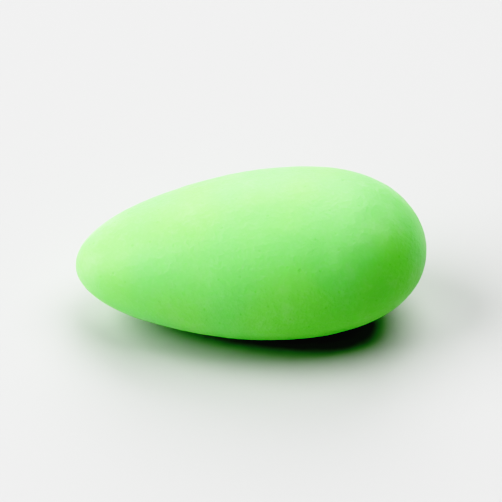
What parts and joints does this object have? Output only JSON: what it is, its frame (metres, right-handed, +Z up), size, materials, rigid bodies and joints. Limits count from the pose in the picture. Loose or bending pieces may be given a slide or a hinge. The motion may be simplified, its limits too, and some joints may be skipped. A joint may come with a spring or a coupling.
{
  "type": "sugared almond",
  "caption": "Whole almond in a smooth, satin green sugar shell: an egg-shaped, slightly flattened sweet with a narrow tip and a blunt end, lying on its flatter face.",
  "frame": {"origin": "under the middle of the almond's bounding box, at the height of the flat spot that it rests on", "axes": "+Z up; +X along the almond from its narrow tip to its blunt end; +Y across its width"},
  "size_m": [0.03, 0.0164, 0.0131],
  "materials": {
    "sugar_shell": "smooth satin green sugar shell, slightly translucent, paler where it is rubbed"
  },
  "bodies": {
    "root": {"sugared_almond": "sugar_shell"}
  },
  "joints": []
}
